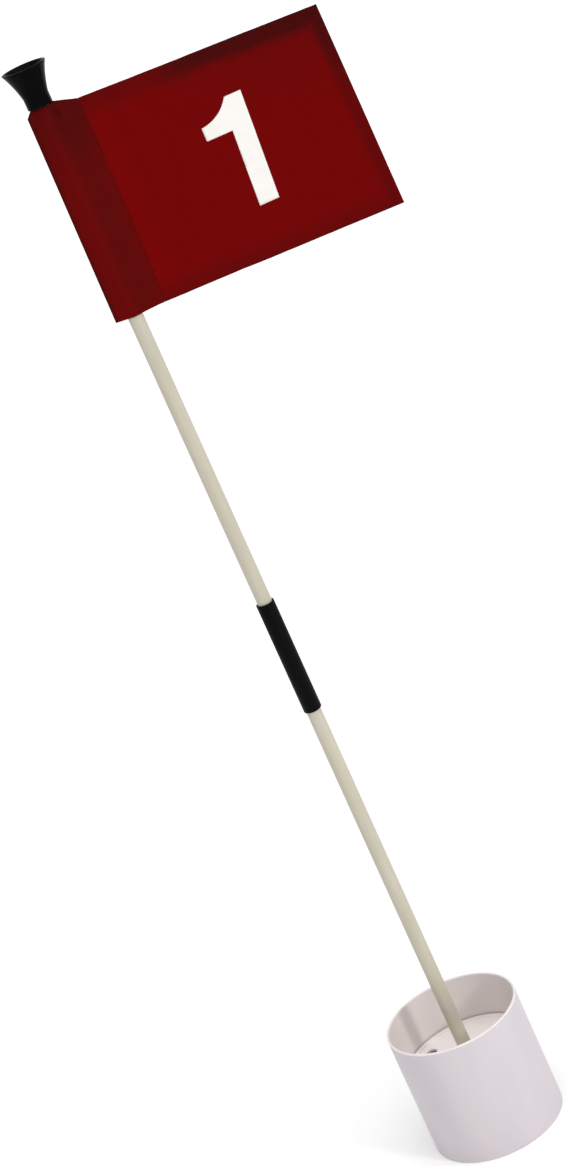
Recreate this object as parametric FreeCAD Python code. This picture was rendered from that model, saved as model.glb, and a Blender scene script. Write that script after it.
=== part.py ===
import FreeCAD, Part
import math
import os

from FreeCAD import Vector

# Two-section practice-green flagstick standing in its hole cup. Millimetres, +Z up.
# The origin is on the stick's axis, level with the cup's bottom edge. The flag flies towards
# +X, and its two faces look along -Y and +Y.

# ---- Sizes ----

# Hole cup
CUP_OUTER_D = 108.0         # the regulation hole, 4.25 in across
CUP_HEIGHT = 104.5
CUP_WALL = 2.0
RIM_ROUND = 0.8             # rounding of the rim, inside and outside
MOST_RIM_ROUND = 0.45       # and no more than this share of the wall
FLOOR_DEPTH = 38.5          # from the rim down to the floor's raised lip
FLOOR_FIT = 0.05            # radial gap between the floor's skirt and the wall
LEDGE_WIDTH = 2.0           # the ledge inside the wall that carries the floor
LEDGE_HEIGHT = 4.0

# Cup floor, a pressed-in moulding
FLOOR_PLATE = 2.4
LIP_WIDTH = 3.5
LIP_RISE = 1.4              # the lip stands this far above the plate
SKIRT_HEIGHT = 12.0
SKIRT_WALL = 2.0
HUB_WALL = 3.0
DRAIN_COUNT = 3
DRAIN_D = 9.0
DRAIN_RING_D = 76.0
DRAIN_TURN = 14.0           # degrees from +X to the first drain
GUSSET_COUNT = 6
GUSSET_TURN = 37.0          # degrees from +X to the first gusset, clear of the drains
GUSSET_THICK = 1.8
GUSSET_HEIGHT = 22.0        # at the hub, below the plate
GUSSET_TOE = 4.0            # at the skirt, below the plate

# Socket that the stick stands in
SOCKET_DEPTH = 42.0         # from the floor's plate down to where the foot rests
BUSH_WALL = 2.2
BUSH_WEB = 2.0
BUSH_DRAIN_D = 4.0
BUSH_FLANGE_D = 24.0
BUSH_FLANGE_THICK = 1.6
BUSH_FIT = 0.05             # radial gap between the bush and the hub
STICK_FIT = 0.30            # radial gap round the stick, which lifts out by hand

# Rods and what is on their ends
ROD_D = 11.5
ROD_WALL = 2.0
LOWER_ROD_LENGTH = 397.0
UPPER_ROD_LENGTH = 452.2
PLUG_FIT = 0.05             # radial gap between a plug's stem and the rod's bore
PLUG_STEM = 14.0
FOOT_HEAD = 10.0            # the foot plug's head, below the rod
FOOT_CHAMFER = 2.2
JOINT_HEAD = 4.0            # the upper rod's plug head
JOINT_CHAMFER = 0.8
SLEEVE_WALL = 1.2
SLEEVE_GRIP = 45.0          # how far each rod goes into the sleeve
SLEEVE_STOP = 3.0           # thickness of the stop ring halfway along
SLEEVE_FOOT_ROUND = 1.0
SLEEVE_FIT = 0.10           # radial running clearance of the upper rod

# Ball pick-up bell
BELL_SOCKET = 11.5          # how far the rod goes into the neck
BELL_NECK_D = 18.6
BELL_NECK_LENGTH = 8.0      # the straight part, before the flare
BELL_RIM_D = 33.2
BELL_HEIGHT = 29.2
BELL_RIM_WALL = 1.8
BELL_WEB = 3.0              # rubber between the rod's end and the hollow
BELL_HOLLOW_D = 9.0         # across the bottom of the hollow
FLARE_SAG = 0.8             # how far the flare curves in from a straight cone

# Ring that the flag hangs on
STOP_RING_RISE = 1.45       # above the rod's surface
STOP_RING_WIDTH = 2.4

# Flag cloth
CLOTH = 0.8                 # thickness of one layer
POCKET_FLAT = 38.1          # width of the pole pocket
POCKET_LEFT = 14.6          # from the stick's axis out to the fold, at the foot
POCKET_LEAN = 2.5           # the fold and the seam lean this far towards +X at the top
POCKET_CLEAR = 0.3          # radial gap between the pocket and the ring inside it
POCKET_FOLD = 1.2           # outer radius of the fold
POCKET_TAIL = 4.0           # flat double layer beside the panel
POCKET_HEIGHT = 161.2       # at the stick
POCKET_SHOULDER = 4.9       # the top edge falls this far from the stick to the seam
POCKET_CORNER = 4.5         # cut corner at the top of the fold
BELL_GAP = 0.5              # between the bell's neck and the pocket
PANEL_FOOT_FALL = 0.6       # the foot falls this far from the fold to the seam
PANEL_LENGTH = 184.5        # from the seam to the fly edge, along the foot
FLY_LEAN = 6.9              # the fly edge leans this far back at the top, against the seam
FLY_TOP_DROOP = 8.3
FLY_FOOT_DROOP = 5.5
LONG_HEM = 14.0             # width of the top and the bottom hem
FLY_HEM = 9.5
TACK_LENGTH = 3.5           # bar tacks that narrow the pocket's top
TACK_HEIGHT = 2.5
TACK_DEPTH = 8.0            # from the pocket's top down to the tacks
TACK_CLEAR = 0.45           # radial gap between a tack and the rod
RING_CLEAR = 0.3            # between the tacks and the ring
THREAD_WIDTH = 0.6
THREAD_RISE = 0.25
SEAM_INSET = 1.6            # from an edge to the line of stitching

# Numeral
DIGIT_LEFT = 72.6           # from the pocket's seam to the arm's tip
DIGIT_RAISE = 35.0          # above the panel's foot at the seam
DIGIT_HEIGHT = 81.0
DIGIT_STEM = 14.9
DIGIT_LEAN = 4.3            # the stem's right edge leans this far at the top
DIGIT_ARM = 19.5            # from the arm's tip to the stem
DIGIT_ARM_FALL = 24.0       # from the top down to the arm's lower edge
DIGIT_ARM_HEIGHT = 10.0
DIGIT_TOP = 12.5            # width of the stem's top
DIGIT_SCOOP = 3.0           # how far the arm's upper edge curves in
DIGIT_THICK = 0.3

# ---- Places that follow from the sizes ----

CUP_R = CUP_OUTER_D / 2
CUP_BORE_R = CUP_R - CUP_WALL
LIP_Z = CUP_HEIGHT - FLOOR_DEPTH
PLATE_TOP = LIP_Z - LIP_RISE
PLATE_FOOT = PLATE_TOP - FLOOR_PLATE
SKIRT_FOOT = LIP_Z - SKIRT_HEIGHT
SKIRT_R = CUP_BORE_R - FLOOR_FIT

ROD_R = ROD_D / 2
ROD_BORE_R = ROD_R - ROD_WALL
SOCKET_R = ROD_R + STICK_FIT
BUSH_R = SOCKET_R + BUSH_WALL
HUB_BORE_R = BUSH_R + BUSH_FIT
HUB_R = HUB_BORE_R + HUB_WALL
FOOT_Z = PLATE_TOP - SOCKET_DEPTH
BUSH_FOOT = FOOT_Z - BUSH_WEB

LOWER_ROD_FOOT = FOOT_Z + FOOT_HEAD
STOP_FOOT = LOWER_ROD_FOOT + LOWER_ROD_LENGTH
STOP_TOP = STOP_FOOT + SLEEVE_STOP
SLEEVE_BORE_R = ROD_R + SLEEVE_FIT
SLEEVE_R = SLEEVE_BORE_R + SLEEVE_WALL
SLEEVE_FOOT = STOP_FOOT - SLEEVE_GRIP
SLEEVE_TOP = STOP_TOP + SLEEVE_GRIP
UPPER_ROD_FOOT = STOP_TOP + JOINT_HEAD
UPPER_ROD_TOP = UPPER_ROD_FOOT + UPPER_ROD_LENGTH

BELL_FOOT = UPPER_ROD_TOP - BELL_SOCKET
BELL_TOP = BELL_FOOT + BELL_HEIGHT

STOP_RING_R = ROD_R + STOP_RING_RISE
POCKET_TOP = BELL_FOOT - BELL_GAP
POCKET_FOOT = POCKET_TOP - POCKET_HEIGHT
POCKET_BORE_R = STOP_RING_R + POCKET_CLEAR
POCKET_R = POCKET_BORE_R + CLOTH
TACK_TOP = POCKET_TOP - TACK_DEPTH
TACK_FOOT = TACK_TOP - TACK_HEIGHT
STOP_RING_TOP = TACK_FOOT - RING_CLEAR
PANEL_FOOT = POCKET_FOOT - PANEL_FOOT_FALL
PANEL_TOP = POCKET_TOP - POCKET_SHOULDER


def lean_at(z):
    """How far the pocket's fold and seam have moved towards +X at height z."""
    return POCKET_LEAN * (z - POCKET_FOOT) / POCKET_HEIGHT


def fold_x(z):
    return lean_at(z) - POCKET_LEFT


def seam_x(z):
    return fold_x(z) + POCKET_FLAT


SEAM_FOOT = (seam_x(PANEL_FOOT), PANEL_FOOT)
SEAM_TOP = (seam_x(PANEL_TOP), PANEL_TOP)
FLY_FOOT = (SEAM_FOOT[0] + PANEL_LENGTH, PANEL_FOOT - FLY_FOOT_DROOP)
FLY_TOP = (FLY_FOOT[0] + POCKET_LEAN - FLY_LEAN, PANEL_TOP - FLY_TOP_DROOP)


# ---- Helpers ----

def disc(radius, z_low, z_high):
    """Solid cylinder on the stick's axis."""
    return Part.makeCylinder(radius, z_high - z_low, Vector(0, 0, z_low))


def tube(outer_r, inner_r, z_low, z_high):
    """Hollow cylinder on the stick's axis."""
    return disc(outer_r, z_low, z_high).cut(disc(inner_r, z_low, z_high))


def spun(edges):
    """Solid turned about Z from the edges of a closed outline in the XZ plane."""
    face = Part.Face(Part.Wire(edges))
    return face.revolve(Vector(0, 0, 0), Vector(0, 0, 1), 360)


def lines(points):
    """Straight edges through (x, z) points, not closed."""
    corners = [Vector(x, 0, z) for x, z in points]
    return [Part.makeLine(a, b) for a, b in zip(corners, corners[1:])]


def arc(start, middle, end):
    """Curved edge through three (x, z) points."""
    return Part.Arc(*(Vector(x, 0, z) for x, z in (start, middle, end))).toShape()


def prism(edges, y_low, y_high):
    """Solid from the edges of a closed outline in the XZ plane, between two values of y."""
    face = Part.Face(Part.Wire(edges))
    face.translate(Vector(0, y_low, 0))
    return face.extrude(Vector(0, y_high - y_low, 0))


def plate(points, y_low, y_high):
    """Prism with straight sides through (x, z) points."""
    return prism(lines(points + points[:1]), y_low, y_high)


def between(start, end, share):
    """The (x, z) point at a share of the way from start to end."""
    return tuple(a + share * (b - a) for a, b in zip(start, end))


def around_z(shape, count, first=0.0):
    """Copies of a shape, evenly spaced round the stick's axis."""
    copies = []
    for index in range(count):
        copy = shape.copy()
        copy.rotate(Vector(0, 0, 0), Vector(0, 0, 1), first + 360 * index / count)
        copies.append(copy)
    return copies


def round_edges(shape, radius, chosen):
    """Fillet the edges that the test picks."""
    return shape.makeFillet(radius, [edge for edge in shape.Edges if chosen(edge)])


def circle_at(edge, z):
    """True for a full circle that lies at height z."""
    box = edge.BoundBox
    return edge.isClosed() and box.ZLength < 1e-6 and abs(box.ZMax - z) < 1e-6


# ---- Hole cup ----

def make_cup_wall():
    """Open tube with an inside ledge, sloped below so that it moulds cleanly."""
    ledge_r = SKIRT_R - LEDGE_WIDTH
    outline = [
        (CUP_BORE_R, 0),
        (CUP_R, 0),
        (CUP_R, CUP_HEIGHT),
        (CUP_BORE_R, CUP_HEIGHT),
        (CUP_BORE_R, SKIRT_FOOT),
        (ledge_r, SKIRT_FOOT),
        (CUP_BORE_R, SKIRT_FOOT - LEDGE_HEIGHT),
        (CUP_BORE_R, 0),
    ]
    wall = spun(lines(outline))
    return round_edges(wall, min(RIM_ROUND, CUP_WALL * MOST_RIM_ROUND), lambda e: circle_at(e, CUP_HEIGHT))


def make_gusset():
    """Triangular web between the hub and the skirt, under the plate."""
    outline = [
        (HUB_R - HUB_WALL / 2, PLATE_FOOT + FLOOR_PLATE / 2),
        (SKIRT_R - SKIRT_WALL / 2, PLATE_FOOT + FLOOR_PLATE / 2),
        (SKIRT_R - SKIRT_WALL / 2, PLATE_FOOT - GUSSET_TOE),
        (HUB_R - HUB_WALL / 2, PLATE_FOOT - GUSSET_HEIGHT),
    ]
    return plate(outline, -GUSSET_THICK / 2, GUSSET_THICK / 2)


def make_cup_floor():
    """Dished floor with a raised lip, a skirt, a hub, gussets and drain holes."""
    floor = disc(SKIRT_R, PLATE_FOOT, LIP_Z).cut(disc(SKIRT_R - LIP_WIDTH, PLATE_TOP, LIP_Z))
    skirt = tube(SKIRT_R, SKIRT_R - SKIRT_WALL, SKIRT_FOOT, PLATE_TOP)
    hub = disc(HUB_R, BUSH_FOOT, PLATE_TOP)
    floor = floor.fuse([skirt, hub] + around_z(make_gusset(), GUSSET_COUNT, GUSSET_TURN))
    drain = disc(DRAIN_D / 2, PLATE_FOOT, PLATE_TOP)
    drain.translate(Vector(DRAIN_RING_D / 2, 0, 0))
    drains = around_z(drain, DRAIN_COUNT, DRAIN_TURN)
    return floor.cut([disc(HUB_BORE_R, BUSH_FOOT, PLATE_TOP)] + drains).removeSplitter()


def make_socket_bush():
    """Liner that hangs in the hub by its flange and closes the socket at the bottom."""
    body = disc(BUSH_R, BUSH_FOOT, PLATE_TOP)
    flange = disc(BUSH_FLANGE_D / 2, PLATE_TOP, PLATE_TOP + BUSH_FLANGE_THICK)
    bush = body.fuse(flange).cut(disc(SOCKET_R, FOOT_Z, PLATE_TOP + BUSH_FLANGE_THICK))
    return bush.cut(disc(BUSH_DRAIN_D / 2, BUSH_FOOT, FOOT_Z)).removeSplitter()


# ---- Stick ----

def make_rod(z_low, length):
    return tube(ROD_R, ROD_BORE_R, z_low, z_low + length)


def make_end_plug(head_foot, head_height, chamfer):
    """Plug for a rod's lower end: a stem in the bore and a head as wide as the rod."""
    stem_r = ROD_BORE_R - PLUG_FIT
    head_top = head_foot + head_height
    outline = [
        (0, head_foot),
        (ROD_R - chamfer, head_foot),
        (ROD_R, head_foot + chamfer),
        (ROD_R, head_top),
        (stem_r, head_top),
        (stem_r, head_top + PLUG_STEM),
        (0, head_top + PLUG_STEM),
        (0, head_foot),
    ]
    return spun(lines(outline))


def make_coupler_sleeve():
    """Tube over both rods: tight on the lower one, sliding on the upper one."""
    body = disc(SLEEVE_R, SLEEVE_FOOT, SLEEVE_TOP)
    foot_round = min(SLEEVE_FOOT_ROUND, SLEEVE_WALL)
    body = round_edges(body, foot_round, lambda e: circle_at(e, SLEEVE_FOOT))
    holes = [
        disc(ROD_R, SLEEVE_FOOT, STOP_FOOT),
        disc(ROD_BORE_R, STOP_FOOT, STOP_TOP),
        disc(SLEEVE_BORE_R, STOP_TOP, SLEEVE_TOP),
    ]
    return body.cut(holes)


def make_pickup_bell():
    """Flared rubber cup on the upper rod's end, hollow above and socketed below."""
    neck_r = BELL_NECK_D / 2
    rim_r = BELL_RIM_D / 2
    neck_top = BELL_FOOT + BELL_NECK_LENGTH
    hollow_foot = UPPER_ROD_TOP + BELL_WEB
    outer_foot = (neck_r, neck_top)
    outer_rim = (rim_r, BELL_TOP)
    inner_foot = (BELL_HOLLOW_D / 2, hollow_foot)
    inner_rim = (rim_r - BELL_RIM_WALL, BELL_TOP)
    outline = lines([(0, UPPER_ROD_TOP), (ROD_R, UPPER_ROD_TOP), (ROD_R, BELL_FOOT),
                     (neck_r, BELL_FOOT), outer_foot])
    outline.append(flare(outer_foot, outer_rim))
    outline += lines([outer_rim, inner_rim])
    outline.append(flare(inner_rim, inner_foot))
    outline += lines([inner_foot, (0, hollow_foot), (0, UPPER_ROD_TOP)])
    return spun(outline)


def flare(start, end):
    """Arc between two (r, z) points that bows in towards the axis and up."""
    x, z = between(start, end, 0.5)
    run = end[0] - start[0]
    climb = end[1] - start[1]
    length = math.hypot(run, climb)
    middle = (x - FLARE_SAG * abs(climb) / length, z + FLARE_SAG * abs(run) / length)
    return arc(start, middle, end)


def make_flag_stop_ring():
    """Rubber ring, flat on the rod and round outside, that the flag hangs on."""
    top = (ROD_R, STOP_RING_TOP)
    foot = (ROD_R, STOP_RING_TOP - STOP_RING_WIDTH)
    middle = (STOP_RING_R, STOP_RING_TOP - STOP_RING_WIDTH / 2)
    return spun([arc(top, middle, foot)] + lines([foot, top]))


# ---- Flag ----

def touch_points(left, right):
    """Where a straight line above two circles (x, r) on the X axis touches each of them."""
    cosine = (left[1] - right[1]) / (right[0] - left[0])
    sine = math.sqrt(1 - cosine ** 2)
    return [(x + r * cosine, r * sine) for x, r in (left, right)]


def belt(circles, z):
    """Closed wire at height z that wraps three circles (x, r) on the X axis."""
    upper = touch_points(circles[0], circles[1]) + touch_points(circles[1], circles[2])
    first, last = circles[0], circles[2]
    edges = [bend(mirrored(upper[0]), (first[0] - first[1], 0), upper[0], z)]
    for side in (upper, [mirrored(point) for point in upper]):
        top = (circles[1][0], math.copysign(circles[1][1], side[0][1]))
        edges += [
            Part.makeLine(Vector(*side[0], z), Vector(*side[1], z)),
            bend(side[1], top, side[2], z),
            Part.makeLine(Vector(*side[2], z), Vector(*side[3], z)),
        ]
    edges.append(bend(upper[3], (last[0] + last[1], 0), mirrored(upper[3]), z))
    return Part.Wire(Part.__sortEdges__(edges))


def bend(start, middle, end, z):
    """Curved edge through three (x, y) points at height z."""
    return Part.Arc(*(Vector(x, y, z) for x, y in (start, middle, end))).toShape()


def mirrored(point):
    return (point[0], -point[1])


def pocket_body(shrink):
    """The pocket's outside, or its inside when shrunk by one layer of cloth."""
    wires = []
    for z in (POCKET_FOOT - POCKET_CORNER, POCKET_TOP + POCKET_CORNER):
        circles = [
            (fold_x(z) + POCKET_FOLD, POCKET_FOLD - shrink),
            (0, POCKET_R - shrink),
            (seam_x(z) - POCKET_TAIL - shrink, CLOTH - shrink / 2),
        ]
        wires.append(belt(circles, z))
    return Part.makeLoft(wires, True, True)


def make_flag_pocket():
    """Sleeve of cloth round the rod, closed by a flat tail along the seam."""
    corner = [
        (fold_x(POCKET_TOP), POCKET_TOP - POCKET_CORNER),
        (fold_x(POCKET_TOP) + POCKET_CORNER, POCKET_TOP),
    ]
    shoulder = [(POCKET_R, POCKET_TOP), SEAM_TOP, SEAM_FOOT]
    outline = [(fold_x(POCKET_FOOT), POCKET_FOOT)] + corner + shoulder
    tail = plate([
        (SEAM_FOOT[0] - POCKET_TAIL, PANEL_FOOT),
        SEAM_FOOT,
        SEAM_TOP,
        (SEAM_TOP[0] - POCKET_TAIL, POCKET_TOP),
    ], -CLOTH, CLOTH)
    cloth = pocket_body(0).fuse(tail).cut(pocket_body(CLOTH))
    return cloth.common(plate(outline, -POCKET_R, POCKET_R)).removeSplitter()


def make_flag_panel():
    return plate([SEAM_FOOT, FLY_FOOT, FLY_TOP, SEAM_TOP], -CLOTH / 2, CLOTH / 2)


def hem_line(edge_distance_long, edge_distance_fly):
    """Corners of a line that keeps its distance from the foot, the fly and the top edge."""
    foot_rise = edge_distance_long / (PANEL_TOP - PANEL_FOOT)
    fly_share = 1 - edge_distance_fly / PANEL_LENGTH
    seam = [between(SEAM_FOOT, SEAM_TOP, share) for share in (foot_rise, 1 - foot_rise)]
    fly = [between(FLY_FOOT, FLY_TOP, share) for share in (foot_rise, 1 - foot_rise)]
    corners = [between(seam[i], fly[i], fly_share) for i in range(2)]
    return [seam[0], corners[0], corners[1], seam[1]]


def make_hems():
    """Folded edges on the panel's back: the fly hem runs between the two long ones."""
    seam_low, low, high, seam_high = hem_line(LONG_HEM, FLY_HEM)
    fly_low, fly_high = (
        between(FLY_FOOT, FLY_TOP, LONG_HEM / (PANEL_TOP - PANEL_FOOT)),
        between(FLY_TOP, FLY_FOOT, LONG_HEM / (PANEL_TOP - PANEL_FOOT)),
    )
    outlines = {
        "bottom_hem": [SEAM_FOOT, FLY_FOOT, fly_low, seam_low],
        "top_hem": [seam_high, fly_high, FLY_TOP, SEAM_TOP],
        "fly_hem": [low, fly_low, fly_high, high],
    }
    return {name: plate(points, CLOTH / 2, CLOTH * 3 / 2) for name, points in outlines.items()}


def make_pocket_tacks():
    """A bar tack on each side of the rod, across the inside of the pocket."""
    inside = pocket_body(CLOTH)
    near = ROD_R + TACK_CLEAR
    far = near + TACK_LENGTH
    tacks = []
    for start, end in ((-far, -near), (near, far)):
        block = plate([(start, TACK_FOOT), (end, TACK_FOOT), (end, TACK_TOP), (start, TACK_TOP)],
                      -POCKET_R, POCKET_R)
        tacks.append(block.common(inside))
    return Part.makeCompound(tacks)


def thread_pair(points, front, back):
    """Band of thread along (x, z) points, laid on the front and on the back of the cloth."""
    band = points + [(x - THREAD_WIDTH, z) for x, z in reversed(points)]
    return [plate(band, front - THREAD_RISE, front), plate(band, back, back + THREAD_RISE)]


def make_pocket_stitching():
    """Seam through the pocket's flat tail."""
    line = [
        (SEAM_FOOT[0] - SEAM_INSET, PANEL_FOOT + SEAM_INSET),
        (SEAM_TOP[0] - SEAM_INSET, PANEL_TOP),
    ]
    return Part.makeCompound(thread_pair(line, -CLOTH, CLOTH))


def make_hem_stitching():
    """Seam just inside the hems' free edge, round three sides of the panel."""
    outer = hem_line(LONG_HEM - SEAM_INSET, FLY_HEM - SEAM_INSET)
    inner = hem_line(LONG_HEM - SEAM_INSET + THREAD_WIDTH, FLY_HEM - SEAM_INSET + THREAD_WIDTH)
    band = outer + inner[::-1]
    front = -CLOTH / 2
    back = CLOTH * 3 / 2
    return Part.makeCompound([
        plate(band, front - THREAD_RISE, front),
        plate(band, back, back + THREAD_RISE),
    ])


def make_number(back):
    """Numeral one, which reads the right way on its own face of the flag."""
    foot = PANEL_FOOT + DIGIT_RAISE
    top = foot + DIGIT_HEIGHT
    left = SEAM_FOOT[0] + DIGIT_LEFT
    stem_left = left + DIGIT_ARM
    arm_foot = top - DIGIT_ARM_FALL
    lean = DIGIT_LEAN / DIGIT_HEIGHT
    stem_foot = (stem_left - lean * (arm_foot - foot), foot)
    stem_right = (stem_foot[0] + DIGIT_STEM, foot)
    top_right = (stem_right[0] + DIGIT_LEAN, top)
    top_left = (top_right[0] - DIGIT_TOP, top)
    arm_tip = (left, arm_foot + DIGIT_ARM_HEIGHT)
    scoop = between(arm_tip, top_left, 0.5)
    outline = lines([arm_tip, (left, arm_foot), (stem_left, arm_foot), stem_foot, stem_right,
                     top_right, top_left])
    outline.append(arc(top_left, (scoop[0] + DIGIT_SCOOP / 2, scoop[1] - DIGIT_SCOOP), arm_tip))
    number = prism(outline, -CLOTH / 2 - DIGIT_THICK, -CLOTH / 2)
    if back:
        centre = (left + top_right[0]) / 2
        number.rotate(Vector(centre, 0, 0), Vector(0, 0, 1), 180)
    return number


# ---- Export ----

def make_parts():
    parts = {
        "cup_wall": make_cup_wall(),
        "cup_floor": make_cup_floor(),
        "socket_bush": make_socket_bush(),
        "lower_rod": make_rod(LOWER_ROD_FOOT, LOWER_ROD_LENGTH),
        "foot_plug": make_end_plug(FOOT_Z, FOOT_HEAD, FOOT_CHAMFER),
        "coupler_sleeve": make_coupler_sleeve(),
        "upper_rod": make_rod(UPPER_ROD_FOOT, UPPER_ROD_LENGTH),
        "upper_rod_plug": make_end_plug(STOP_TOP, JOINT_HEAD, JOINT_CHAMFER),
        "pickup_bell": make_pickup_bell(),
        "flag_stop_ring": make_flag_stop_ring(),
        "flag_panel": make_flag_panel(),
        "flag_pocket": make_flag_pocket(),
        "pocket_tacks": make_pocket_tacks(),
        "pocket_stitching": make_pocket_stitching(),
        "hem_stitching": make_hem_stitching(),
        "number_front": make_number(back=False),
        "number_back": make_number(back=True),
    }
    parts.update(make_hems())
    return parts


os.makedirs("parts", exist_ok=True)
for node, shape in make_parts().items():
    shape.exportStep(f"parts/{node}.step")
    box = shape.BoundBox
    print(f"{node:18s} solids {len(shape.Solids)}  volume {shape.Volume:10.1f}  "
          f"x {box.XMin:7.1f} {box.XMax:7.1f}  z {box.ZMin:7.1f} {box.ZMax:7.1f}  "
          f"{'ok' if shape.isValid() else 'INVALID'}")
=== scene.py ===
import math

import bmesh
import bpy
import numpy as np
from mathutils import Matrix, Vector, noise


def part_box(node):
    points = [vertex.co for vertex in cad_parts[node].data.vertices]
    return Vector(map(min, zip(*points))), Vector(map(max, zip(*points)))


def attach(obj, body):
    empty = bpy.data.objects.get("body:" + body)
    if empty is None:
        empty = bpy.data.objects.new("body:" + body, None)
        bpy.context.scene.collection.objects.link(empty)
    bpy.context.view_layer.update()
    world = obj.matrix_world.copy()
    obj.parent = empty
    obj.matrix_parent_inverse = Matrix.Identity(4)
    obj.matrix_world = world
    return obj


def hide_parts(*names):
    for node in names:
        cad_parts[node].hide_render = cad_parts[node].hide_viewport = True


# The looks of a practice-green flagstick in its hole cup. Metres, +Z up, in the frame of the
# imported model: the stick stands on the origin and the flag flies towards +X.

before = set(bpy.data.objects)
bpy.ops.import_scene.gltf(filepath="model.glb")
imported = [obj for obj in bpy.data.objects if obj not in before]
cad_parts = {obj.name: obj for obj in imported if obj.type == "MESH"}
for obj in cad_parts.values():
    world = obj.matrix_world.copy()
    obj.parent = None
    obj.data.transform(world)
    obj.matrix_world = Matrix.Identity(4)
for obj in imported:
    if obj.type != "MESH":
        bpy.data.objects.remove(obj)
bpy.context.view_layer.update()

MM = 0.001
TURN = 2 * math.pi

# Hole cup
CUP_WALL = 2.0 * MM
RIM_ROUND = 0.85 * MM
LEDGE_WIDTH = 2.0 * MM
LEDGE_HEIGHT = 4.0 * MM
SKIRT_HEIGHT = 12.0 * MM
SKIRT_WALL = 2.0 * MM
LIP_WIDTH = 3.5 * MM
LIP_RISE = 1.4 * MM
FLOOR_PLATE = 2.4 * MM
HUB_WALL = 3.0 * MM
DRAINS = 3
DRAIN_R = 4.5 * MM
DRAIN_RING_R = 38.0 * MM
DRAIN_TURN = math.radians(14)
GUSSETS = 6
GUSSET_TURN = math.radians(37)
GUSSET_THICK = 1.8 * MM
GUSSET_HEIGHT = 22.0 * MM
GUSSET_TOE = 4.0 * MM
BUSH_WALL = 2.2 * MM
BUSH_FLANGE = 1.6 * MM
BUSH_WEB = 2.0 * MM
BUSH_DRAIN_R = 2.0 * MM
BUSH_FIT = 0.05 * MM
STICK_FIT = 0.3 * MM

# Stick
ROD_WALL = 2.0 * MM
PLUG_FIT = 0.05 * MM
FOOT_HEAD = 10.0 * MM
FOOT_CHAMFER = 2.2 * MM
JOINT_HEAD = 4.0 * MM
JOINT_CHAMFER = 0.8 * MM
SLEEVE_STOP = 3.0 * MM
SLEEVE_FIT = 0.1 * MM
BELL_SOCKET = 11.5 * MM
BELL_NECK_LENGTH = 8.0 * MM
BELL_NECK_R = 9.3 * MM
BELL_RIM_WALL = 1.8 * MM
BELL_WEB = 3.0 * MM
BELL_HOLLOW_R = 4.5 * MM
FLARE_SAG = 0.8 * MM

# Cloth
NYLON = 0.34 * MM           # one layer
FOLDED = 0.62 * MM          # the layers that a hem adds behind the panel
LONG_HEM = 14.0 * MM
FLY_HEM = 9.5 * MM
SEAM_INSET = 1.6 * MM
WEAVE = 0.42 * MM           # from one thread to the next
CELL = 4.0 * MM             # mesh size of the simulated cloth
FINE_CELL = 2.0 * MM        # mesh size of the finished cloth
FILM = 0.10 * MM            # thickness of the numeral
STITCH_PITCH = 3.0 * MM
STITCH_LENGTH = 2.5 * MM
STITCH_R = 0.26 * MM

# Pole pocket
POCKET_FLAT = 38.1 * MM
POCKET_TAIL = 4.0 * MM      # flat double layer beside the panel
POCKET_CORNER = 4.5 * MM    # cut corner at the top of the fold
POCKET_SHOULDER = 8.3 * MM  # from the stick's axis to where the top edge starts to fall
POCKET_FOOT_FALL = 0.6 * MM
FOLD_R = 0.7 * MM
TACK_X = 8.0 * MM           # from the stick's axis to the middle of a bar tack
TACK_LENGTH = 3.5 * MM
TACK_GAP = 2.2 * MM         # half of the sleeve's opening at a tack
TACK_BAR = 2.0 * MM         # height of the block under a tack's threads
TACK_THREADS = 9
PINCH_WIDTH = 2.4 * MM      # how far a tack pulls the cloth in, to each side
PINCH_ABOVE = 6.0 * MM
PINCH_BELOW = 2.2 * MM
DRAWN_BELOW = 25 * MM       # how far below the tacks the folds are deeper

# Studio
LENS = 87.65
CAMERA_PLACE = (0, -1.9792, 1.1715)
ROLL, PAN, TILT = 0.42142, 0.00932, 0.33370
SURROUND = 0.66             # brightness of the white surround


# ---- Measures of the frame ----

def radius_of(node):
    """A turned node's outer radius."""
    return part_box(node)[1].x


def foot_of(node):
    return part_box(node)[0].z


def top_of(node):
    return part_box(node)[1].z


def corners_of(node):
    """A flat four-sided node's corners (x, z): foot left, foot right, top right, top left."""
    points = [(v.co.x, v.co.z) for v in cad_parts[node].data.vertices]
    ways = ((-1, -1), (1, -1), (1, 1), (-1, 1))
    return [max(points, key=lambda p: a * p[0] + b * p[1]) for a, b in ways]


def size_of(corners):
    """Mean width and mean height of a four-sided outline."""
    wide = ((corners[1][0] - corners[0][0]) + (corners[2][0] - corners[3][0])) / 2
    high = ((corners[3][1] - corners[0][1]) + (corners[2][1] - corners[1][1])) / 2
    return np.array([wide, high])


# ---- Materials ----

class Value:
    """A number inside a material. Arithmetic on it adds Math nodes."""

    def __init__(self, finish, socket):
        self.finish = finish
        self.socket = socket

    def math(self, operation, *values):
        return self.finish.node("ShaderNodeMath", {"operation": operation}, dict(enumerate(values)))

    def __add__(self, other):
        return self.math("ADD", self, other)

    def __sub__(self, other):
        return self.math("SUBTRACT", self, other)

    def __rsub__(self, other):
        return self.math("SUBTRACT", other, self)

    def __mul__(self, other):
        return self.math("MULTIPLY", self, other)

    __radd__ = __add__
    __rmul__ = __mul__

    def sine(self):
        return self.math("SINE", self)

    def size(self):
        return self.math("ABSOLUTE", self)

    def either(self, other):
        return self.math("MAXIMUM", self, other)

    def above(self, edge, blur):
        """0 below the edge and 1 above it, with a soft step as wide as blur."""
        inputs = {0: self, 1: edge - blur / 2, 2: edge + blur / 2}
        return self.finish.node("ShaderNodeMapRange", {"interpolation_type": "SMOOTHSTEP"}, inputs)


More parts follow.
